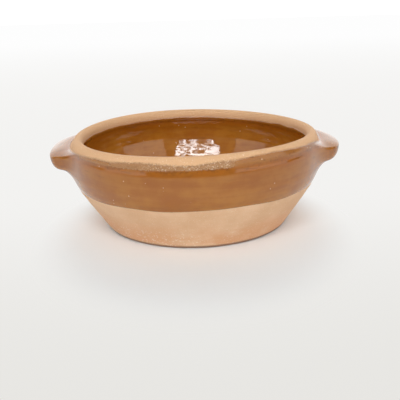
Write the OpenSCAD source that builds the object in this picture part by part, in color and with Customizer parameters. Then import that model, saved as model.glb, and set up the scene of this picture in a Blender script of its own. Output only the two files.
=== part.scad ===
// A small round earthenware oven dish with two pressed lugs, thrown on a wheel
// and fired as one piece. The frame has its origin at the centre of the flat
// base, +Z up, and the lugs lie along X.

/* [Body] */
// Diameter of the flat base that rests on the table
base_d = 117; // [80:1:150]
// Diameter of the belly, the widest part of the wall
belly_d = 163.6; // [150:0.2:230]
// Height from the table to the top of the rim
bowl_h = 60.6; // [52:0.2:90]
// How far the belly lies below the top of the rim
belly_depth = 14.1; // [12.6:0.1:26]
// Thickness of the wall, measured square to it
wall_t = 6.8; // [4:0.2:9]
// Thickness of the floor
floor_t = 7.2; // [4:0.2:12]
// Lean of the lower wall away from upright, in degrees
wall_lean = 32.6; // [20:0.2:40]
// Radius of the outer edge of the base
base_edge_r = 3; // [1:0.25:5]
// Radius of the cove between the floor and the wall
cove_r = 14; // [6:0.5:20]

/* [Rim] */
// How far the top of the rim lies in from the belly
crest_inset = 5.2; // [3.8:0.1:11.8]
// Thickness of the rim
rim_t = 7.4; // [5:0.2:10]
// Height of the rounded part of the rim
rim_round_h = 6.6; // [4:0.2:9]

/* [Throwing rings] */
// Distance from one throwing ring to the next
ring_pitch = 6.2; // [4:0.2:12]
// Height of a throwing ring above the hollows beside it
ring_depth = 0.12; // [0.04:0.02:0.6]

/* [Lugs] */
// Width of the left lug along the wall
left_lug_w = 42; // [30:0.5:60]
// Width of the right lug along the wall
right_lug_w = 38.5; // [30:0.5:60]
// How far the left lug stands out from the belly
left_lug_reach = 13.8; // [11:0.1:24]
// How far the right lug stands out from the belly
right_lug_reach = 13.9; // [11:0.1:24]
// How far a lug's top lies below the top of the rim, where it meets the wall
lug_depth = 6.4; // [6.1:0.1:12.6]
// Height of a lug from its foot on the wall to its top
lug_h = 27.2; // [22:0.1:34]
// How much lower a lug's top is at its tip than at its root
lug_drop = 3.4; // [0.5:0.1:5]
// How much higher a lug's far corner stands than the middle of its edge
lug_tilt = 2; // [0:0.1:3]
// Thickness of a lug at its tip
lug_tip_t = 9; // [6:0.1:11]
// Radius of the edge round a lug's top
lug_edge_r = 1.4; // [0.6:0.1:2.4]
// How far in from its tip the round under a lug reaches
lug_round = 4.2; // [2:0.1:5.5]

/* [Hidden] */
$fn = 160;

base_r = base_d / 2;
belly_r = belly_d / 2;
belly_h = bowl_h - belly_depth;
crest_r = belly_r - crest_inset;
lug_top_h = bowl_h - lug_depth;

// How far the two handles of a wall curve reach, as shares of its height; the lower
// one stops at a share of the way out to the belly
LOW_HANDLE = 0.62;
HIGH_HANDLE = 0.35;
LOW_REACH = 0.85;
WALL_STEPS = 26;
ROUND_STEPS = 10;
RIM_STEPS = 9;

// Plan outline of a lug: a higher power is squarer, a lower one more pointed
LEFT_FULLNESS = 4;
RIGHT_FULLNESS = 2.1;
// Where the fillet beside a lug starts and runs out, as shares of the lug's half width
FILLET_FROM = 0.9;
FILLET_TO = 1.5;
// How deep a lug's own outline starts inside the wall, at its top and at its bottom
SINK_TOP = 0.4;
SINK_FOOT = 1.2;
LUG_SECTIONS = 40;
TOP_STEPS = 4;
EDGE_STEPS = 3;
FACE_STEPS = 6;
UNDER_STEPS = 9;

// Points along a cubic curve from a to d, with handles at b and c
function curve(a, b, c, d, steps) = [
    for (i = [0 : steps])
        let (t = i / steps, s = 1 - t)
            s * s * s * a + 3 * s * s * t * b + 3 * s * t * t * c + t * t * t * d
];

// Points along an elliptical arc with half axes rx and rz
function arc(centre, rx, rz, from, to, steps) = [
    for (i = [0 : steps])
        let (a = from + (to - from) * i / steps)
            [centre[0] + rx * cos(a), centre[1] + rz * sin(a)]
];

// Unit vector up along the lower wall, and the one square to it that points outwards
along = [sin(wall_lean), cos(wall_lean)];
outwards = [cos(wall_lean), -sin(wall_lean)];

// A lower wall's first handle, for the wall's height and the way out to its belly
function low_handle(height, across) =
    min(LOW_HANDLE * height, LOW_REACH * max(0, across) / along[0]) * along;

// Height of a throwing ring at a height z, faded out towards the ends of the wall
function ring(z, low, high) =
    ring_depth / 2 * sin(360 * z / ring_pitch) * sin(180 * min(1, max(0, (z - low) / (high - low))));

// The outside: base edge, lower wall up to the belly, then the upper wall
foot_top = [base_r, base_edge_r] + base_edge_r * outwards;
belly = [belly_r, belly_h];
rim_low_h = bowl_h - rim_round_h;
outer_lower = curve(foot_top, foot_top + low_handle(belly_h, belly_r - foot_top[0]),
                    belly - [0, HIGH_HANDLE * belly_h], belly, WALL_STEPS);

// The rim leans in by a share of the way from the belly to the crest
RIM_LEAN = 0.2;
rim_out = [belly_r - RIM_LEAN * (belly_r - crest_r), rim_low_h];
outer_upper = [
    for (i = [1 : ROUND_STEPS - 1])
        let (t = i / ROUND_STEPS)
            [belly_r - (belly_r - rim_out[0]) * t * t, belly_h + (rim_low_h - belly_h) * t]
];
outer_rim = arc([crest_r, rim_low_h], rim_out[0] - crest_r, rim_round_h, 0, 90, RIM_STEPS);

// The inside: rim, upper wall, lower wall beside the outer one, cove and floor
rim_in = [rim_out[0] - rim_t, rim_low_h + rim_round_h / 3];
inner_rim = arc([crest_r, rim_in[1]], crest_r - rim_in[0], bowl_h - rim_in[1], 90, 180, RIM_STEPS);
inner_belly = belly - [wall_t, 0];
wall_line = foot_top - wall_t * outwards;
corner = wall_line + (floor_t - wall_line[1]) / along[1] * along;
cove_reach = cove_r * tan((90 - wall_lean) / 2);
cove_top = corner + cove_reach * along;
cove_centre = [corner[0] - cove_reach, floor_t + cove_r];
inner_upper = curve(rim_in, rim_in - [0, (rim_in[1] - belly_h) / 3],
                    inner_belly + [0, (rim_in[1] - belly_h) / 3], inner_belly, ROUND_STEPS);
inner_span = inner_belly[1] - cove_top[1];
inner_lower = curve(inner_belly, inner_belly - [0, HIGH_HANDLE * inner_span],
                    cove_top + low_handle(inner_span, inner_belly[0] - cove_top[0]), cove_top,
                    WALL_STEPS);
inner_cove = arc(cove_centre, cove_r, cove_r, -wall_lean, -90, ROUND_STEPS);

// The rings stand out on the outside where they lie back on the inside
function with_rings(points, low, high) = [for (p = points) [p[0] + ring(p[1], low, high), p[1]]];
function after_first(points) = [for (i = [1 : len(points) - 1]) points[i]];
outer_wall = with_rings(concat(outer_lower, outer_upper), foot_top[1], rim_low_h);
inner_wall = with_rings(concat(after_first(inner_upper), after_first(inner_lower)),
                        cove_top[1], rim_in[1]);

// The bowl's section, from the middle of the base round to the middle of the floor
section = concat(
    [[0, 0]],
    arc([base_r, base_edge_r], base_edge_r, base_edge_r, -90, -wall_lean, ROUND_STEPS),
    after_first(outer_wall),
    outer_rim,
    after_first(inner_rim),
    inner_wall,
    after_first(inner_cove),
    [[0, floor_t]]
);

// Radius of the outside wall at a height z, read off the section itself
wall_table = [for (p = concat(outer_wall, outer_rim)) [p[1], p[0]]];
function wall_r(z) = lookup(z, wall_table);

module thrown_body() {
    color([0.63, 0.39, 0.22]) rotate_extrude() polygon(section);
}

// A lug's section at its middle: along its top from the root, round the edge, down
// its face and back along the underside, each point beside the wall point it grows from
function lug_section(reach) =
    let (
        tip_r = belly_r + reach,
        root_r = wall_r(lug_top_h) - SINK_TOP,
        edge_c = [tip_r - lug_edge_r, lug_top_h - lug_drop - lug_edge_r],
        end_slope = atan(2 * lug_drop / (edge_c[0] - root_r)),
        edge = arc(edge_c, lug_edge_r, lug_edge_r, 90 - end_slope, 0, EDGE_STEPS),
        top = [for (i = [0 : TOP_STEPS - 1])
            let (t = i / TOP_STEPS)
                [root_r + (edge[0][0] - root_r) * t, lug_top_h - (lug_top_h - edge[0][1]) * t * t]],
        face = arc([tip_r - lug_round, edge_c[1]], lug_round, lug_tip_t - lug_edge_r, 0, -90, FACE_STEPS),
        under = face[FACE_STEPS],
        foot_h = lug_top_h - lug_h,
        mid_h = (under[1] + foot_h) / 2,
        below = curve(under, [wall_r(under[1]) + lug_round / 3, under[1]],
                      [wall_r(mid_h), mid_h], [wall_r(foot_h) - SINK_FOOT, foot_h], UNDER_STEPS),
        outline = concat(top, edge, after_first(face), after_first(below)),
        last = len(outline) - 1
    )
    [for (i = [0 : last])
        let (
            share = max(0, i - TOP_STEPS + 1) / (last - TOP_STEPS + 1),
            z = lug_top_h - lug_h * share,
            sink = SINK_TOP + (SINK_FOOT - SINK_TOP) * share
        )
            [outline[i], [wall_r(z) - sink, z]]];

// Share of a lug's reach at a share of its half width: a rounded outline, and a
// cubic that leaves it smoothly and runs out along the wall at each side
function hump(side, fullness) = sqrt(1 - pow(side, fullness));
function drawn_out(side, fullness) =
    let (
        span = FILLET_TO - FILLET_FROM,
        t = min(1, (side - FILLET_FROM) / span),
        start = hump(FILLET_FROM, fullness),
        slope = -fullness * pow(FILLET_FROM, fullness - 1) / (2 * start)
    )
        side < FILLET_FROM ? hump(side, fullness)
            : (start * (1 + 2 * t) + slope * span * t) * pow(1 - t, 2);

// One lug along +X: sections turned about the bowl's axis, each drawn out from the wall
// by its own share of the reach, with roots sunk into the wall. The lug's +Y corner is
// raised by the tilt where far is 1, and its -Y corner where far is -1.
module lug(width, reach, fullness, far) {
    rows = lug_section(reach);
    across = len(rows);
    half_angle = asin(width / 2 / belly_r);
    angles = [for (i = [0 : LUG_SECTIONS])
        -half_angle * FILLET_TO * cos(180 * i / LUG_SECTIONS)];
    function at(p, angle) = [p[0] * cos(angle), p[0] * sin(angle), p[1]];
    outside = [for (a = angles)
        let (side = a / half_angle, pull = drawn_out(abs(side), fullness))
            for (row = rows)
                at(row[1] + pull * (row[0] - row[1] + [0, far * lug_tilt * side]), a)];
    inside = [for (a = angles, row = rows) at(row[1] - [wall_t / 3, 0], a)];
    sections = LUG_SECTIONS;
    foot = across - 1;
    function out_at(i, j) = i * across + j;
    function in_at(i, j) = len(outside) + i * across + j;

    // Two triangles for four corners named clockwise, as seen from outside
    function quad(a, b, c, d) = [[a, b, c], [a, c, d]];
    faces = [
        for (i = [0 : sections - 1], j = [0 : foot - 1]) each concat(
            quad(out_at(i, j), out_at(i + 1, j), out_at(i + 1, j + 1), out_at(i, j + 1)),
            quad(in_at(i, j), in_at(i, j + 1), in_at(i + 1, j + 1), in_at(i + 1, j))
        ),
        for (i = [0 : sections - 1]) each concat(
            quad(out_at(i, 0), in_at(i, 0), in_at(i + 1, 0), out_at(i + 1, 0)),
            quad(out_at(i, foot), out_at(i + 1, foot), in_at(i + 1, foot), in_at(i, foot))
        ),
        for (j = [0 : foot - 1]) each concat(
            quad(out_at(0, j), out_at(0, j + 1), in_at(0, j + 1), in_at(0, j)),
            quad(out_at(sections, j), in_at(sections, j), in_at(sections, j + 1),
                 out_at(sections, j + 1))
        )
    ];
    color([0.66, 0.42, 0.24]) polyhedron(concat(outside, inside), faces, convexity = 4);
}

module bowl() {
    union() {
        thrown_body();
        lug(right_lug_w, right_lug_reach, RIGHT_FULLNESS, 1);
        rotate([0, 0, 180]) lug(left_lug_w, left_lug_reach, LEFT_FULLNESS, -1);
    }
}

bowl();
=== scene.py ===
import math

import bpy
import numpy as np
from mathutils import Matrix


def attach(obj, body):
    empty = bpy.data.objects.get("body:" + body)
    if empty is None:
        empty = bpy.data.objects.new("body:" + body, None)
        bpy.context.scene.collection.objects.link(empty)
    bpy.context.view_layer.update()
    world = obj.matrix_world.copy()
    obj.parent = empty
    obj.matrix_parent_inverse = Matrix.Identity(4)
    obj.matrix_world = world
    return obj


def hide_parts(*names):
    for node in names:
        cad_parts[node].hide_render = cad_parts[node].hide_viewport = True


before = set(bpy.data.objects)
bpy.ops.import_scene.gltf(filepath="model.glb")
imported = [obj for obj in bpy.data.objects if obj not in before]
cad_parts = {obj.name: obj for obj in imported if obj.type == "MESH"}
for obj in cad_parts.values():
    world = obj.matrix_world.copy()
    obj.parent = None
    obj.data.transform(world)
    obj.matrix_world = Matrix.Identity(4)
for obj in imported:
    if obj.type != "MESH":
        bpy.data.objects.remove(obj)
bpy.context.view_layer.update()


# The camera
# The photograph was taken from about 0.4 m in front of the dish and a little above its rim,
# with the camera tipped down and turned very slightly, so the dish's right side sits higher.
EYE = (0.00243, -0.4022, 0.1410)
TIPPED_DOWN = math.radians(17.9)
TURNED = math.radians(-1.61)
FOCAL_SHARE = 1.534

camera_data = bpy.data.cameras.new("photo_camera")
camera_data.sensor_width = 36.0
camera_data.lens = 36.0 * FOCAL_SHARE
camera_data.clip_start = 0.01
camera_data.clip_end = 20.0
camera = bpy.data.objects.new("photo_camera", camera_data)
camera.matrix_world = (
    Matrix.Translation(EYE)
    @ Matrix.Rotation(math.pi / 2 - TIPPED_DOWN, 4, "X")
    @ Matrix.Rotation(TURNED, 4, "Z")
)
bpy.context.scene.collection.objects.link(camera)
bpy.context.scene.camera = camera


# The thrown wall
# The body is red-buff earthenware thrown on a wheel in one go: a flat cut base, a wall that
# leans out to a belly and a thick rolled rim. All of it is one turned section, in millimetres.
BASE_R = 58.5
EDGE_R = 3.0
BELLY = np.array([81.8, 46.5])
HEIGHT = 60.6
WALL = 6.8
FLOOR = 7.2
LEAN = math.radians(32.6)
COVE_R = 14.0
CREST_R = 76.6
RIM_ROUND = 6.6
RIM_THICK = 7.4
RING_PITCH = 6.2
RING_DEPTH = 0.12
LOW_HANDLE = 0.62
HIGH_HANDLE = 0.35


def cubic(a, b, c, d, count):
    """Points from a to d at even shares t: (1-t)^3 a + 3 t (1-t)^2 b + 3 t^2 (1-t) c + t^3 d."""
    t = np.linspace(0, 1, count)[:, None]
    return (1 - t) ** 3 * a + 3 * t * (1 - t) ** 2 * b + 3 * t**2 * (1 - t) * c + t**3 * d


def arc(centre, wide, high, start, end, count):
    """Points on an ellipse about centre: (wide cos a, high sin a) for angles a from start to end."""
    a = np.radians(np.linspace(start, end, count))
    return np.stack([centre[0] + wide * np.cos(a), centre[1] + high * np.sin(a)], 1)


def line(a, b, count):
    """Points at even steps from a to b."""
    t = np.linspace(0, 1, count)[:, None]
    return (1 - t) * np.asarray(a, float) + t * np.asarray(b, float)


def smooth(x, low, high):
    """0 below low, 1 above high and 3t^2 - 2t^3 between, t the share of the way."""
    t = np.clip((x - low) / (high - low), 0, 1)
    return t * t * (3 - 2 * t)


def ringed(points, low, high):
    """Moves each point out by the throwing rings' sine of its height, faded out to both ends."""
    z = points[:, 1]
    fade = np.sin(np.pi * np.clip((z - low) / (high - low), 0, 1))
    out = points.copy()
    out[:, 0] += RING_DEPTH / 2 * np.sin(2 * np.pi * z / RING_PITCH) * fade
    return out


along = np.array([math.sin(LEAN), math.cos(LEAN)])
outwards = np.array([math.cos(LEAN), -math.sin(LEAN)])
foot_top = np.array([BASE_R, EDGE_R]) + EDGE_R * outwards
rim_low = HEIGHT - RIM_ROUND
rim_out = BELLY[0] - 0.2 * (BELLY[0] - CREST_R)
rim_in = np.array([rim_out - RIM_THICK, rim_low + RIM_ROUND / 3])
down = np.array([0.0, -1.0])

leaning = foot_top + LOW_HANDLE * BELLY[1] * along
upright = BELLY + HIGH_HANDLE * BELLY[1] * down
outer_lower = cubic(foot_top, leaning, upright, BELLY, 200)
share = np.linspace(0, 1, 60)[:, None]
outer_upper = BELLY + np.hstack([(rim_out - BELLY[0]) * share**2, (rim_low - BELLY[1]) * share])
outer = ringed(np.vstack([outer_lower, outer_upper[1:]]), foot_top[1], rim_low)

belly_in = BELLY - [WALL, 0]
wall_line = foot_top - WALL * outwards
corner = wall_line + (FLOOR - wall_line[1]) / along[1] * along
cove_reach = COVE_R * math.tan((math.pi / 2 - LEAN) / 2)
cove_top = corner + cove_reach * along
cove_centre = [corner[0] - cove_reach, FLOOR + COVE_R]
lift = (rim_in[1] - BELLY[1]) / 3
inner_upper = cubic(rim_in, rim_in + lift * down, belly_in - lift * down, belly_in, 60)
drop = belly_in[1] - cove_top[1]
upright_in = belly_in + HIGH_HANDLE * drop * down
leaning_in = cove_top + LOW_HANDLE * drop * along
inner_lower = cubic(belly_in, upright_in, leaning_in, cove_top, 200)
inner = ringed(np.vstack([inner_upper, inner_lower[1:]]), cove_top[1], rim_in[1])

section = np.vstack([
    line([0.0, 0.0], [BASE_R, 0.0], 120),
    arc([BASE_R, EDGE_R], EDGE_R, EDGE_R, -90, -math.degrees(LEAN), 30)[1:],
    outer[1:],
    arc([CREST_R, rim_low], rim_out - CREST_R, RIM_ROUND, 0, 90, 60)[1:],
    arc([CREST_R, rim_in[1]], CREST_R - rim_in[0], HEIGHT - rim_in[1], 90, 180, 60)[1:],
    inner[1:],
    arc(cove_centre, COVE_R, COVE_R, -math.degrees(LEAN), -90, 60)[1:],
    line([cove_centre[0], FLOOR], [0.0, FLOOR], 120)[1:],
])
steps = np.linalg.norm(np.diff(section, axis=0), axis=1)
run = np.concatenate([[0.0], np.cumsum(steps)])
crest_run = run[np.argmax(section[:, 1])]


def run_at(height, inside):
    """How far along the section the wall reaches a height, outside or inside."""
    side = run > crest_run if inside else (run < crest_run) & (section[:, 0] >= BASE_R)
    z = section[side, 1]
    order = np.argsort(z)
    return float(np.interp(height, z[order], run[side][order]))


# The two lugs
# Each is a flat-topped tongue of the same clay, pressed on below the rim while the body was
# soft and smoothed in at its sides. Its top falls a little to a crisp edge with a blunt face
# below it, and the far corner came out a little higher than the near one, which droops.
LUG_JOIN = 56.0
LUG_TOP = 54.2
LUG_FOOT = 27.0
LUG_DROP = 3.4
LUG_TILT = 2.0
TIP_THICK = 9.0
EDGE_ROUND = 1.4
FACE_ROUND = 4.2
RIGHT_LUG = {
    "width": 38.5, "reach": 13.9, "fullness": 2.1, "fillet": (0.78, 2.10), "far": 1, "droop": 1.5,
}
LEFT_LUG = {
    "width": 42.0, "reach": 13.8, "fullness": 4.0, "fillet": (0.84, 1.95), "far": -1, "droop": 1.3,
}
LUG_ROWS = 80
TOP_ROWS = 30


def spaced(points, count):
    """So many points along a line, closer together where it turns: even steps of the length
    in millimetres plus 2.5 times the turned angle."""
    step = np.diff(points, axis=0)
    angle = np.unwrap(np.arctan2(step[:, 1], step[:, 0]))
    turned = np.abs(np.diff(angle, append=angle[-1]))
    walk = np.concatenate([[0.0], np.cumsum(np.hypot(*step.T) + 2.5 * turned)])
    even = np.linspace(0, walk[-1], count)
    return np.stack([np.interp(even, walk, points[:, 0]), np.interp(even, walk, points[:, 1])], 1)


def wall_r(z):
    """Radius of the outside at a height, up to the top of the rim."""
    out = section[(run < crest_run) & (section[:, 0] >= BASE_R)]
    return float(np.interp(z, out[:, 1], out[:, 0]))


def lug_outline(reach):
    """The lug's section at its middle, from the wall below it to the wall above it: a hollow
    curve, a blunt round face, a crisp edge, the falling top and a small fillet at the rim."""
    tip = BELLY[0] + reach
    edge_at = [tip - EDGE_ROUND, LUG_TOP - LUG_DROP - EDGE_ROUND]
    fall = math.degrees(math.atan(2 * LUG_DROP / (edge_at[0] - wall_r(LUG_TOP))))
    face = arc([tip - FACE_ROUND, edge_at[1]], FACE_ROUND, TIP_THICK - EDGE_ROUND, -90, 0, 60)
    edge = arc(edge_at, EDGE_ROUND, EDGE_ROUND, 0, 90 - fall, 30)
    under = face[0]
    middle = (under[1] + LUG_FOOT) / 2
    below = cubic(np.array([wall_r(LUG_FOOT), LUG_FOOT]), np.array([wall_r(middle), middle]),
                  np.array([wall_r(under[1]) + FACE_ROUND / 3, under[1]]), under, 80)
    root = wall_r(LUG_TOP)
    t = np.linspace(1, 0.22, 60)[:, None]
    top = np.hstack([root + (edge[-1, 0] - root) * t, LUG_TOP + (edge[-1, 1] - LUG_TOP) * t**2])
    join = np.array([wall_r(LUG_JOIN), LUG_JOIN])
    fillet = cubic(top[-1], top[-1] + [-1.8, 0.1], join + [0.2, -1.4], join, 30)
    lower = np.vstack([below, face[1:], edge[1:]])
    upper = np.vstack([top, fillet[1:]])
    return np.vstack([spaced(lower, LUG_ROWS - TOP_ROWS), spaced(upper, TOP_ROWS + 1)[1:]])


def drawn_out(side, fullness, fillet):
    """Share of a lug's reach at a share of its half width: the root of 1 - side^fullness, and
    from the fillet's start a cubic that leaves it smoothly and runs out flat at its end."""
    side = np.abs(side)
    hump = np.sqrt(np.clip(1 - side**fullness, 0, None))
    first, last = fillet
    start = math.sqrt(1 - first**fullness)
    slope = -fullness * first ** (fullness - 1) / (2 * start)
    t = np.clip((side - first) / (last - first), 0, 1)
    fall = (start * (1 + 2 * t) + slope * (last - first) * t) * (1 - t) ** 2
    return np.where(side < first, hump, fall)


def near_corner(side):
    """How far the droop shows at a share of the half width, counted towards the near corner:
    the bell exp(-((side - 0.95) / 0.4)^2), faded out before the lug's middle."""
    return np.exp(-((side - 0.95) / 0.4) ** 2) * smooth(side, 0.1, 0.8)


# The dish as one surface
# Rows follow the section from the middle of the base round to the middle of the floor, columns
# go round the dish and stand closer together at the lugs. The hand's unevenness comes on top:
# the rim rises and falls twice round the dish and tips a little to one side.
COLUMNS = 372
GLAZE_LINE = 29.5
RIM_LINE_OUT = 56.2
RIM_LINE_IN = 55.2
RIM_WARP = {"cos_twice": -0.47, "sin_twice": -0.63, "tip": 0.27}
OUT_OF_ROUND = 0.0016
LINE_WAVES = 0.6

turn = np.arange(COLUMNS) / COLUMNS * 2 * np.pi
turn = turn - 0.28 * np.sin(2 * turn)

lug_low = run_at(LUG_FOOT, False)
lug_top = run_at(LUG_TOP, False)
lug_high = run_at(LUG_JOIN, False)
lug_rows = np.concatenate([
    np.linspace(lug_low, lug_top, LUG_ROWS - TOP_ROWS),
    np.linspace(lug_top, lug_high, TOP_ROWS + 1)[1:],
])
line_run = run_at(GLAZE_LINE, False)
rim_out_run = run_at(RIM_LINE_OUT, False)
rim_in_run = run_at(RIM_LINE_IN, True)
edge_run = BASE_R
cove_run = run_at(FLOOR + 1.5, True)

rows = np.unique(np.concatenate([
    np.linspace(0, edge_run, 12)[1:],
    np.linspace(edge_run, edge_run + 4, 8),
    np.linspace(edge_run + 4, lug_low, 26),
    lug_rows,
    np.linspace(lug_high, rim_in_run, 28),
    np.linspace(rim_in_run, rim_in_run + 6, 10),
    np.linspace(rim_in_run + 6, cove_run, 60),
    np.linspace(cove_run, run[-1], 24)[:-1],
]).round(6))


def waves(angle, seed, low, high, size):
    """Sum of cosines of low to high turns round the dish, each of its own phase, up to size."""
    chance = np.random.default_rng(seed)
    out = np.zeros_like(angle)
    for turns in range(low, high + 1):
        share = chance.uniform(0.4, 1.0) / math.sqrt(turns)
        out += share * np.cos(turns * angle + chance.uniform(0, 2 * np.pi))
    return size * out / np.abs(out).max()


# Rows near the dipped line slide up and down with it, so that the line runs along a row
near_line = np.exp(-((rows - line_run) / 4.0) ** 2)[:, None]
row_run = rows[:, None] + waves(turn, 3, 2, 14, LINE_WAVES) * near_line
radius = np.interp(row_run, run, section[:, 0])
height = np.interp(row_run, run, section[:, 1])

raised = smooth(height, 0, HEIGHT)
warp = RIM_WARP["cos_twice"] * np.cos(2 * turn) + RIM_WARP["sin_twice"] * np.sin(2 * turn)
height += raised * (warp + RIM_WARP["tip"] * np.cos(turn))
radius *= 1 + raised * waves(turn, 11, 2, 5, OUT_OF_ROUND)

# A lug's near corner droops most along its crisp edge, and less on the face below and towards the rim
on_lug = (rows > lug_low - 1e-4) & (rows < lug_high + 1e-4)
below_edge = smooth(lug_rows, lug_low + 0.45 * (lug_top - lug_low), lug_top)
above_edge = smooth(lug_rows, lug_high, lug_top)
at_edge = np.where(lug_rows < lug_top, below_edge, above_edge)[:, None]
for lug, centre in ((RIGHT_LUG, 0.0), (LEFT_LUG, math.pi)):
    half = math.asin(lug["width"] / 2 / BELLY[0])
    side = ((turn - centre + math.pi) % (2 * math.pi) - math.pi) / half
    pull = drawn_out(side, lug["fullness"], lug["fillet"])
    outline = lug_outline(lug["reach"])
    raised_edge = lug["far"] * LUG_TILT * side
    radius[on_lug] += pull * (outline[:, :1] - radius[on_lug])
    height[on_lug] += pull * (outline[:, 1:] + raised_edge - height[on_lug])
    height[on_lug] -= lug["droop"] * near_corner(-lug["far"] * side) * at_edge

grid = np.stack([radius * np.cos(turn), radius * np.sin(turn), height], -1)


def outward(points):
    """Unit normals of the grid: the cross of its steps round the dish and along the section."""
    round_step = np.roll(points, -1, 1) - np.roll(points, 1, 1)
    along_step = np.gradient(points, axis=0)
    normal = np.cross(round_step, along_step)
    return normal / (np.linalg.norm(normal, axis=-1, keepdims=True) + 1e-12)


# The glaze was wiped off the rim by hand, so outside its upper edge stands higher at some places
# than at others: pairs of a bearing from the front in degrees and millimetres above RIM_LINE_OUT
WIPED = np.array([
    (-180, 0.8), (-125, 0.6), (-110, -1.0), (-100, -2.6), (-80, -2.6), (-70, -1.0), (-60, -0.2),
    (-45, 0.9), (-33, 0.6), (-25, 1.3), (-15, 1.2), (-8, 0.1), (0, -0.1), (4, 0.5), (9, 1.4),
    (16, 1.5), (22, 1.9), (28, 2.7), (42, 2.4), (50, 1.7), (60, 1.3), (70, 0.4), (80, -2.0),
    (100, -2.0), (110, -0.4), (125, 0.6), (180, 0.8),
])
# How much of a thin, sandy coat was left along that edge, at bearings round the dish
THIN_COAT = np.array([
    (-180, 0.2), (-95, 0.25), (-70, 0.3), (-50, 0.4), (-38, 0.55), (-28, 0.8), (-20, 0.9),
    (-12, 1.0), (14, 1.0), (18, 0.1), (60, 0.2), (180, 0.2),
])
bearing = np.degrees((turn + math.pi / 2 + math.pi) % (2 * math.pi) - math.pi)

# Distances in millimetres from the edges of the glaze, measured along the surface of each column
row_steps = np.linalg.norm(np.diff(grid, axis=0), axis=-1)
walk = np.vstack([np.zeros(COLUMNS), np.cumsum(row_steps, axis=0)])


def walk_at(edge):
    """Each column's distance along the surface at the row where an edge of the glaze runs."""
    after = np.searchsorted(rows, edge)
    part = (edge - rows[after - 1]) / (rows[after] - rows[after - 1])
    return walk[after - 1] * (1 - part) + walk[after] * part


GLAZE_THICKNESS = 0.14
GLAZE_BEAD = 0.03
GLAZE_IN_MIDDLE = 0.22
outside = (rows < crest_run)[:, None]
wiped_outside = np.interp(bearing, *WIPED.T) + waves(turn, 5, 12, 40, 0.25)
wiped_inside = waves(turn, 7, 2, 30, 0.45)
rim_mm = np.where(outside, walk_at(rim_out_run) - walk, walk - walk_at(rim_in_run))
from_wiped = rim_mm + np.where(outside, wiped_outside, wiped_inside)
glaze_mm = np.where(outside, np.minimum(walk - walk_at(line_run), from_wiped), from_wiped)
thin_coat = np.where(outside, np.interp(bearing, *THIN_COAT.T), 0.0)

# The glaze stands on the clay with a rounded edge and a slight bead behind it. It is thinnest
# under the rim outside, and gathered a little in the middle of the floor.
skin = GLAZE_THICKNESS * smooth(glaze_mm, -0.25, 0.45)
skin += GLAZE_BEAD * np.exp(-((glaze_mm - 0.9) / 0.6) ** 2)
skin *= np.where(outside & (rim_mm < 8), smooth(rim_mm, 0, 5), 1)
grid += outward(grid) * skin[:, :, None]

middle = [[0.0, 0.0, FLOOR + GLAZE_IN_MIDDLE]]
points = np.vstack([[[0.0, 0.0, 0.0]], grid.reshape(-1, 3), middle]) * 0.001
count = len(rows)
index = 1 + np.arange(count * COLUMNS).reshape(count, COLUMNS)
following = np.roll(index, -1, 1)
quads = np.stack([index[:-1], following[:-1], following[1:], index[1:]], -1).reshape(-1, 4)
last = len(points) - 1
base_fan = np.stack([np.zeros(COLUMNS, int), following[0], index[0]], 1)
floor_fan = np.stack([np.full(COLUMNS, last), index[-1], following[-1]], 1)

mesh = bpy.data.meshes.new("glazed_dish")
mesh.from_pydata(points, [], quads.tolist() + base_fan.tolist() + floor_fan.tolist())
mesh.polygons.foreach_set("use_smooth", np.ones(len(mesh.polygons), bool))
for name, values in (("glaze_mm", glaze_mm), ("rim_mm", rim_mm), ("thin_coat", thin_coat)):
    spread = np.concatenate([values[0, :1], values.ravel(), values[-1, :1]])
    mesh.attributes.new(name, "FLOAT", "POINT").data.foreach_set("value", spread.astype(np.float32))
mesh.update()
dish = bpy.data.objects.new("glazed_dish", mesh)
bpy.context.scene.collection.objects.link(dish)
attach(dish, "root")
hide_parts("bowl")


# The clay and its glaze
# The bare clay is matt, sandy and finely lined by the turning tool. The honey glaze was poured
# over the inside and dipped on outside, wiped off the rim, and fired clear, glossy and a little
# uneven: under the front of the rim it is a thin, dry, sandy coat, and below that it is thick.
# CLAY_RIM_SHADED is the rim's clay made darker, as painted shade against the stronger light on its
# top
CLAY_RIM_SHADED = (0.66, 0.38, 0.193, 1)
CLAY_PALE = (0.79, 0.51, 0.31, 1)
CLAY_WARM = (0.71, 0.43, 0.24, 1)
CLAY_ORANGE = (0.70, 0.34, 0.16, 1)
CLAY_GRAIN = (0.88, 0.72, 0.55, 1)
# CLAY_FOOT_SHADE is painted shade at the foot's edge, where it meets the table
CLAY_FOOT_SHADE = (0.30, 0.16, 0.09, 1)
GLAZE_DEEP = (0.325, 0.102, 0.008, 1)
GLAZE_HONEY = (0.39, 0.145, 0.016, 1)
GLAZE_THIN = (0.365, 0.170, 0.056, 1)
GLAZE_POOL = (0.33, 0.094, 0.005, 1)
# GLAZE_HIGH_SHADE multiplies the glaze darker from the belly up as painted shade
GLAZE_HIGH_SHADE = (0.88, 0.84, 0.80, 1)
# GLAZE_DARK_AND_SHADE colours real dark marks in the glaze and also the painted shadow line under the
# thin coat
GLAZE_DARK_AND_SHADE = (0.15, 0.048, 0.006, 1)
GLAZE_FLECK = (0.66, 0.44, 0.26, 1)


def add(tree, kind, **values):
    """Makes one node of a kind, and sets its properties and its unlinked inputs by name."""
    made = tree.nodes.new(kind)
    for key, value in values.items():
        if hasattr(made, key):
            setattr(made, key, value)
        else:
            made.inputs[key.replace("_", " ")].default_value = value
    return made


def join(tree, out, into):
    """Links one output socket to one input socket."""
    tree.links.new(out, into)


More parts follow.
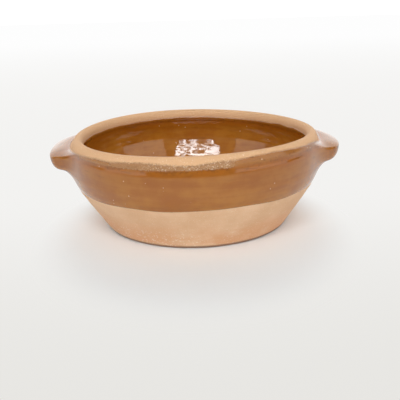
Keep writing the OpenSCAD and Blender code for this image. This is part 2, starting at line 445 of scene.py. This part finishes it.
def math_node(tree, operation, a, b=None, c=None, clamp=False):
    """One Math node: a and b, and c for three-part ones, are sockets or numbers."""
    made = tree.nodes.new("ShaderNodeMath")
    made.operation = operation
    made.use_clamp = clamp
    for socket, value in zip(made.inputs, (a, b, c)):
        if isinstance(value, bpy.types.NodeSocket):
            tree.links.new(value, socket)
        elif value is not None:
            socket.default_value = value
    return made.outputs[0]


def times(tree, a, b):
    """a times b, of sockets or numbers."""
    return math_node(tree, "MULTIPLY", a, b)


def times_plus(tree, a, b, c):
    """a times b, plus c, of sockets or numbers."""
    return math_node(tree, "MULTIPLY_ADD", a, b, c)


def ease(tree, value, low, high, start=0.0, end=1.0):
    """Smooth step of a value from low to high, put out as start to end."""
    made = tree.nodes.new("ShaderNodeMapRange")
    made.interpolation_type = "SMOOTHSTEP"
    tree.links.new(value, made.inputs["Value"])
    for name, number in (("From Min", low), ("From Max", high), ("To Min", start), ("To Max", end)):
        made.inputs[name].default_value = number
    return made.outputs["Result"]


def blend_colour(tree, share, a, b, kind="MIX"):
    """Colour a where share is 0, b where it is 1; colours are sockets or values."""
    made = tree.nodes.new("ShaderNodeMix")
    made.data_type = "RGBA"
    made.blend_type = kind
    for socket, value in ((made.inputs[0], share), (made.inputs[6], a), (made.inputs[7], b)):
        if isinstance(value, bpy.types.NodeSocket):
            tree.links.new(value, socket)
        else:
            socket.default_value = value
    return made.outputs[2]


def noise(tree, place, scale, detail=2.0, rough=0.5, squash=(1, 1, 1), move=(0, 0, 0)):
    """Cloudy noise from 0 to 1 at so many waves a metre, squashed along the axes."""
    spot = tree.nodes.new("ShaderNodeMapping")
    spot.inputs["Scale"].default_value = squash
    spot.inputs["Location"].default_value = move
    tree.links.new(place, spot.inputs["Vector"])
    made = tree.nodes.new("ShaderNodeTexNoise")
    made.inputs["Scale"].default_value = scale
    made.inputs["Detail"].default_value = detail
    made.inputs["Roughness"].default_value = rough
    tree.links.new(spot.outputs["Vector"], made.inputs["Vector"])
    return made.outputs["Fac"]


fired = bpy.data.materials.new("glazed_clay")
fired.use_nodes = True
tree = fired.node_tree
tree.nodes.clear()
place = tree.nodes.new("ShaderNodeTexCoord").outputs["Object"]
to_glaze = add(tree, "ShaderNodeAttribute", attribute_name="glaze_mm").outputs["Fac"]
below_rim = add(tree, "ShaderNodeAttribute", attribute_name="rim_mm").outputs["Fac"]
coat = add(tree, "ShaderNodeAttribute", attribute_name="thin_coat").outputs["Fac"]
split = tree.nodes.new("ShaderNodeSeparateXYZ")
join(tree, place, split.inputs[0])
across = split.outputs["X"]
high = split.outputs["Z"]

# Where the glaze lies: crisp at the dipped line, ragged at the wiped rim
near_rim = ease(tree, below_rim, 4.0, 1.5)
ragged = math_node(tree, "SUBTRACT", noise(tree, place, 900, 3.0, 0.65), 0.5)
reach = times_plus(tree, times_plus(tree, coat, 1.9, 1.0), near_rim, 0.3)
edge = times_plus(tree, ragged, reach, to_glaze)
soft = times_plus(tree, near_rim, 0.6, 0.12)
past_edge = math_node(tree, "ADD", edge, soft)
glazed = math_node(tree, "DIVIDE", past_edge, times(tree, soft, 2.0), clamp=True)

# Bare clay: cloudy, darker on the rim where its top is given painted shade, more orange near the
# foot, with level streaks and sand
cloud = noise(tree, place, 55, 4.0, 0.6)
clay = blend_colour(tree, ease(tree, cloud, 0.35, 0.68), CLAY_WARM, CLAY_PALE)
clay = blend_colour(tree, ease(tree, high, 0.045, 0.052), clay, CLAY_RIM_SHADED)
toasted = noise(tree, place, 38, 3.0, 0.55, (1, 1, 2.2), (0.4, 0, 0))
near_foot = ease(tree, high, 0.022, 0.007, 0.0, 0.75)
toasted = times(tree, ease(tree, toasted, 0.38, 0.54), near_foot)
clay = blend_colour(tree, toasted, clay, CLAY_ORANGE)
streak = noise(tree, place, 22, 3.0, 0.6, (1, 1, 34))
clay = blend_colour(tree, ease(tree, streak, 0.38, 0.64, 0.0, 0.22), clay, CLAY_WARM)
sand = noise(tree, place, 1500, 2.0, 0.6)
clay = blend_colour(tree, ease(tree, sand, 0.60, 0.72, 0.0, 0.55), clay, CLAY_GRAIN)
clay = blend_colour(tree, ease(tree, sand, 0.40, 0.30, 0.0, 0.30), clay, CLAY_ORANGE)

# Pale crumbs stick to the clay low down on the left, and the foot's rounded edge is painted dark as
# the shade where it meets the table
crumbs = ease(tree, noise(tree, place, 700, 1.0, 0.5), 0.60, 0.68)
handfuls = noise(tree, place, 60, 2.0, 0.5, (1, 1, 1), (0.7, 0.2, 0))
crumbs = times(tree, crumbs, ease(tree, handfuls, 0.40, 0.52))
crumbs = times(tree, crumbs, ease(tree, across, 0.030, 0.008, 0.15, 1.0))
crumbs = times(tree, crumbs, ease(tree, high, 0.016, 0.010, 0.0, 0.65))
clay = blend_colour(tree, crumbs, clay, CLAY_GRAIN)
flattened = add(tree, "ShaderNodeVectorMath", operation="MULTIPLY")
join(tree, place, flattened.inputs[0])
flattened.inputs[1].default_value = (1, 1, 0)
from_axis = add(tree, "ShaderNodeVectorMath", operation="LENGTH")
join(tree, flattened.outputs[0], from_axis.inputs[0])
foot_shade_line = ease(tree, high, 0.0026, 0.0014, 0.0, 0.95)
foot_shade_line = times(tree, foot_shade_line, ease(tree, from_axis.outputs["Value"], 0.0574, 0.0602))
clay = blend_colour(tree, foot_shade_line, clay, CLAY_FOOT_SHADE)

# Thick glaze: cloudy honey with faint level streaks, and painted shade that makes it a little darker
# and greyer from the belly up
mottle = noise(tree, place, 120, 4.0, 0.62)
level = noise(tree, place, 30, 4.0, 0.6, (1, 1, 12))
drift = noise(tree, place, 34, 3.0, 0.55, (1, 1, 2))
tone = times_plus(tree, level, 0.3, times(tree, mottle, 0.3))
tone = times_plus(tree, drift, 0.4, tone)
glaze = blend_colour(tree, ease(tree, tone, 0.40, 0.60), GLAZE_DEEP, GLAZE_HONEY)
glaze = blend_colour(tree, ease(tree, high, 0.034, 0.048), glaze, GLAZE_HIGH_SHADE, "MULTIPLY")

# Below the wiped edge the glaze gathered in an orange pool
pool = times(tree, ease(tree, below_rim, 1.4, 3.0), ease(tree, below_rim, 8.0, 4.5))
pool = times(tree, pool, ease(tree, mottle, 0.36, 0.56, 0.25, 1.0))
pool = times(tree, pool, ease(tree, across, -0.01, 0.02, 0.9, 1.0))
glaze = blend_colour(tree, times(tree, pool, 0.8), glaze, GLAZE_POOL)

# Above the pool a thin coat was left, with a painted shadow line in blotches at its foot, and pale
# specks that are partly sand poking through and partly painted glints
coat_foot = times_plus(tree, ragged, 2.0, below_rim)
coat_foot = times_plus(tree, coat, -1.3, math_node(tree, "ADD", coat_foot, 1.3))
thin = times(tree, ease(tree, coat_foot, 3.0, 2.2), coat)
painted_shadow_line = times(tree, ease(tree, coat_foot, 2.4, 3.0), ease(tree, coat_foot, 5.4, 3.4))
blotches = noise(tree, place, 240, 3.0, 0.6, (1, 1, 1), (0.3, 0.1, 0))
painted_shadow_line = times(tree, painted_shadow_line, ease(tree, blotches, 0.44, 0.58, 0.1, 1.0))
painted_shadow_line = times(tree, painted_shadow_line, times_plus(tree, coat, 0.2, 0.3))
glaze = blend_colour(tree, painted_shadow_line, glaze, GLAZE_DARK_AND_SHADE)
glaze = blend_colour(tree, thin, glaze, GLAZE_THIN)
# Pale specks: partly sand poking through the thin coat, partly painted glints of the lamp
sand_and_glints = noise(tree, place, 1300, 1.0, 0.5, (1, 1, 1), (0.1, 0, 0))
sand_and_glints = times(tree, ease(tree, sand_and_glints, 0.54, 0.66), thin)
sand_and_glints = times(tree, sand_and_glints, ease(tree, coat, 0.85, 1.0, 0.1, 0.46))
glaze = blend_colour(tree, sand_and_glints, glaze, CLAY_GRAIN)

# Level drag marks and dark spots near the rim, and pale flecks all over
drag = ease(tree, noise(tree, place, 90, 3.0, 0.6, (1, 1, 8)), 0.60, 0.69)
drag = times(tree, drag, ease(tree, below_rim, 12.0, 7.0))
glaze = blend_colour(tree, times(tree, drag, 0.4), glaze, GLAZE_DARK_AND_SHADE)
dark_spot = ease(tree, noise(tree, place, 520, 2.0, 0.55), 0.60, 0.72)
dark_spot = times(tree, dark_spot, ease(tree, below_rim, 6.5, 3.0))
glaze = blend_colour(tree, times(tree, dark_spot, 0.55), glaze, GLAZE_DARK_AND_SHADE)
cells = add(tree, "ShaderNodeTexVoronoi", Scale=400.0)
join(tree, place, cells.inputs["Vector"])
pick = tree.nodes.new("ShaderNodeSeparateColor")
join(tree, cells.outputs["Color"], pick.inputs[0])
few = ease(tree, pick.outputs[0], 0.92, 0.94)
fleck = times(tree, ease(tree, cells.outputs["Distance"], 0.20, 0.10), few)
glaze = blend_colour(tree, times(tree, fleck, 0.8), glaze, GLAZE_FLECK)
colour = blend_colour(tree, glazed, clay, glaze)

# Relief in millimetres: sand and turning lines in the clay, slow waves and shallow pits in the
# glaze, and the rough skin of the thin coat with its raised upper edge
grit = times(tree, sand, 0.045)
lines = times_plus(tree, noise(tree, place, 26, 3.0, 0.7, (1, 1, 40)), 0.09, grit)
peel = times(tree, noise(tree, place, 160, 2.0, 0.45), 0.035)
peel = times_plus(tree, drift, 0.25, peel)
rough_skin = times(tree, noise(tree, place, 950, 2.0, 0.55), 0.32)
peel = times_plus(tree, thin, rough_skin, peel)
peel = times_plus(tree, fleck, -0.05, peel)
relief = times_plus(tree, glazed, math_node(tree, "SUBTRACT", peel, lines), lines)
lip = times(tree, ease(tree, edge, -0.3, 0.9, 0.0, 0.3), near_rim)
relief = math_node(tree, "ADD", relief, lip)
bump = add(tree, "ShaderNodeBump", Strength=1.0, Distance=0.001)
join(tree, relief, bump.inputs["Height"])

shader = add(tree, "ShaderNodeBsdfPrincipled", IOR=1.65)
join(tree, colour, shader.inputs["Base Color"])
matt = times_plus(tree, sand, 0.1, 0.8)
slick = times_plus(tree, mottle, 0.03, 0.03)
slick = times_plus(tree, thin, 0.40, slick)
roughness = times_plus(tree, glazed, math_node(tree, "SUBTRACT", slick, matt), matt)
join(tree, roughness, shader.inputs["Roughness"])
join(tree, bump.outputs["Normal"], shader.inputs["Normal"])
join(tree, shader.outputs[0], add(tree, "ShaderNodeOutputMaterial").inputs["Surface"])
mesh.materials.append(fired)


# The table
# The dish stands on a plain white table top that runs back out of sight. Round the dish it is
# lit as it is and keeps the soft shadow; further out it shows painted light and shade instead:
# whites that are darker towards the camera and paler towards the back, and dim far in front,
# where only mirrors see it. Lamps and other surfaces meet a plain matt white everywhere.
TABLE_WHITE = (0.80, 0.795, 0.785, 1)
NEAR_WHITE = (0.80, 0.79, 0.762, 1)
MIDDLE_WHITE = (0.895, 0.888, 0.872, 1)
FAR_WHITE = (0.985, 0.985, 0.985, 1)
# FRONT_DIM is painted shade on the far front of the table, which only mirrors see
FRONT_DIM = (0.26, 0.25, 0.24, 1)

table_mesh = bpy.data.meshes.new("table_top")
wide = 5.0
table_corners = [(-wide, -wide, 0), (wide, -wide, 0), (wide, wide, 0), (-wide, wide, 0)]
table_mesh.from_pydata(table_corners, [], [(0, 1, 2, 3)])
table = bpy.data.objects.new("table_top", table_mesh)
bpy.context.scene.collection.objects.link(table)

paper = bpy.data.materials.new("white_table")
paper.use_nodes = True
tree = paper.node_tree
tree.nodes.clear()
place = tree.nodes.new("ShaderNodeTexCoord").outputs["Object"]
top = add(tree, "ShaderNodeBsdfPrincipled", Base_Color=TABLE_WHITE, Roughness=0.75)
far = add(tree, "ShaderNodeEmission", Strength=1.0)

# The painted whites show to the camera and in mirrors only, and only outside an oval round the dish
rays = tree.nodes.new("ShaderNodeLightPath")
seen = math_node(tree, "MAXIMUM", rays.outputs["Is Camera Ray"], rays.outputs["Is Glossy Ray"])
seen = math_node(tree, "MAXIMUM", seen, rays.outputs["Is Transmission Ray"])
split = tree.nodes.new("ShaderNodeSeparateXYZ")
join(tree, place, split.inputs[0])
depth = split.outputs["Y"]
shade = blend_colour(tree, ease(tree, depth, -0.24, 0.06), NEAR_WHITE, MIDDLE_WHITE)
shade = blend_colour(tree, ease(tree, depth, 0.0, 2.2), shade, FAR_WHITE)
shade = blend_colour(tree, ease(tree, depth, -0.28, -1.1), shade, FRONT_DIM)
join(tree, shade, far.inputs["Color"])
oval = add(tree, "ShaderNodeVectorMath", operation="MULTIPLY_ADD")
join(tree, place, oval.inputs[0])
oval.inputs[1].default_value = (1.25, 1, 1)
oval.inputs[2].default_value = (0, 0.03, 0)
apart = add(tree, "ShaderNodeVectorMath", operation="LENGTH")
join(tree, oval.outputs[0], apart.inputs[0])
fade = times(tree, ease(tree, apart.outputs["Value"], 0.085, 0.130), seen)
mix = tree.nodes.new("ShaderNodeMixShader")
join(tree, fade, mix.inputs[0])
join(tree, top.outputs[0], mix.inputs[1])
join(tree, far.outputs[0], mix.inputs[2])
join(tree, mix.outputs[0], add(tree, "ShaderNodeOutputMaterial").inputs["Surface"])
table_mesh.materials.append(paper)


# The light
# A white backdrop stands behind the dish and a white panel at each side of it. Towards the
# camera the room is dim, and one large soft lamp with a crumpled cloth over it hangs there,
# which the glaze mirrors inside the dish.
LAMP_SIZE = (2.07, 1.33)
LAMP_DISTANCE = 2.5
LAMP_TURN = math.radians(-4)
LAMP_RISE = math.radians(40)
LAMP_POWER = 36.0

lamp_data = bpy.data.lights.new("soft_lamp", "AREA")
lamp_data.shape = "RECTANGLE"
lamp_data.size, lamp_data.size_y = LAMP_SIZE
lamp_data.energy = LAMP_POWER
lamp_data.color = (0.95, 1.0, 1.03)
lamp_data.use_nodes = True
tree = lamp_data.node_tree
glow = tree.nodes["Emission"]
on_lamp = tree.nodes.new("ShaderNodeNewGeometry").outputs["Parametric"]
rumple = add(tree, "ShaderNodeTexNoise", Scale=4.0, Detail=3.0)
join(tree, on_lamp, rumple.inputs["Vector"])
bend = add(tree, "ShaderNodeVectorMath", operation="SCALE", Scale=0.45)
join(tree, rumple.outputs["Color"], bend.inputs[0])
creased = add(tree, "ShaderNodeVectorMath", operation="ADD")
join(tree, on_lamp, creased.inputs[0])
join(tree, bend.outputs[0], creased.inputs[1])
folds = add(tree, "ShaderNodeTexVoronoi", Scale=8.0)
join(tree, creased.outputs[0], folds.inputs["Vector"])
pick = tree.nodes.new("ShaderNodeSeparateColor")
join(tree, folds.outputs["Color"], pick.inputs[0])
cloth = ease(tree, pick.outputs[0], 0.30, 0.85, 0.12, 3.4)

# The lamp's light ends at a rectangle with well rounded corners
centred = add(tree, "ShaderNodeVectorMath", operation="MULTIPLY_ADD")
join(tree, creased.outputs[0], centred.inputs[0])
centred.inputs[1].default_value = (2, 2, 0)
centred.inputs[2].default_value = (-1.48, -1.42, 0)
corners = tree.nodes.new("ShaderNodeSeparateXYZ")
join(tree, centred.outputs[0], corners.inputs[0])
wide_part = math_node(tree, "POWER", math_node(tree, "ABSOLUTE", corners.outputs["X"]), 4.0)
high_part = math_node(tree, "POWER", math_node(tree, "ABSOLUTE", corners.outputs["Y"]), 4.0)
from_middle = math_node(tree, "ADD", wide_part, high_part)
join(tree, times(tree, cloth, ease(tree, from_middle, 1.25, 1.0)), glow.inputs["Strength"])
lamp = bpy.data.objects.new("soft_lamp", lamp_data)
in_front = LAMP_DISTANCE * math.cos(LAMP_RISE)
above_dish = LAMP_DISTANCE * math.sin(LAMP_RISE) + 0.03
lamp.matrix_world = (
    Matrix.Rotation(LAMP_TURN, 4, "Z")
    @ Matrix.Translation((0, -in_front, above_dish))
    @ Matrix.Rotation(math.pi / 2 - LAMP_RISE, 4, "X")
)
bpy.context.scene.collection.objects.link(lamp)

# The room, at bearings in degrees from the side towards the camera and at heights from 0, level,
# to 1, straight up
DIM_LIGHT = 0.20
PANEL_LIGHT = 1.06
BACK_LIGHT = 1.60
SEEN_LIGHT = 0.985
world = bpy.data.worlds.new("white_room")
world.use_nodes = True
bpy.context.scene.world = world
tree = world.node_tree
back = tree.nodes["Background"]
split = tree.nodes.new("ShaderNodeSeparateXYZ")
join(tree, tree.nodes.new("ShaderNodeTexCoord").outputs["Generated"], split.inputs[0])
ahead = times(tree, split.outputs["Y"], -1.0)
around = times(tree, math_node(tree, "ARCTAN2", split.outputs["X"], ahead), 180 / math.pi)
up = split.outputs["Z"]
right_edge = times_plus(tree, up, -10.0, around)
left_edge = times_plus(tree, up, 16.0, around)
right_panel = times(tree, ease(tree, right_edge, 33, 34.5), ease(tree, around, 89, 87))
left_panel = times(tree, ease(tree, left_edge, -41.5, -43), ease(tree, around, -89, -83))
panels = times(tree, math_node(tree, "ADD", right_panel, left_panel), ease(tree, up, 0.80, 0.74))
backdrop = ease(tree, math_node(tree, "ABSOLUTE", around), 102, 125)
behind = times(tree, backdrop, ease(tree, up, 0.88, 0.50))
light = times_plus(tree, panels, PANEL_LIGHT - DIM_LIGHT, DIM_LIGHT)
light = times_plus(tree, behind, BACK_LIGHT - DIM_LIGHT, light)

# The camera sees at least plain white all round, and the glaze mirrors at least that behind the dish
rays = tree.nodes.new("ShaderNodeLightPath")
seen = math_node(tree, "MAXIMUM", rays.outputs["Is Camera Ray"], rays.outputs["Is Transmission Ray"])
backdrop = times(tree, backdrop, ease(tree, up, 0.97, 0.80))
seen = math_node(tree, "MAXIMUM", seen, times(tree, rays.outputs["Is Glossy Ray"], backdrop))
light = math_node(tree, "MAXIMUM", light, times(tree, seen, SEEN_LIGHT))
back.inputs["Color"].default_value = (1, 0.995, 0.985, 1)
join(tree, light, back.inputs["Strength"])

bpy.context.scene.view_settings.view_transform = "Standard"
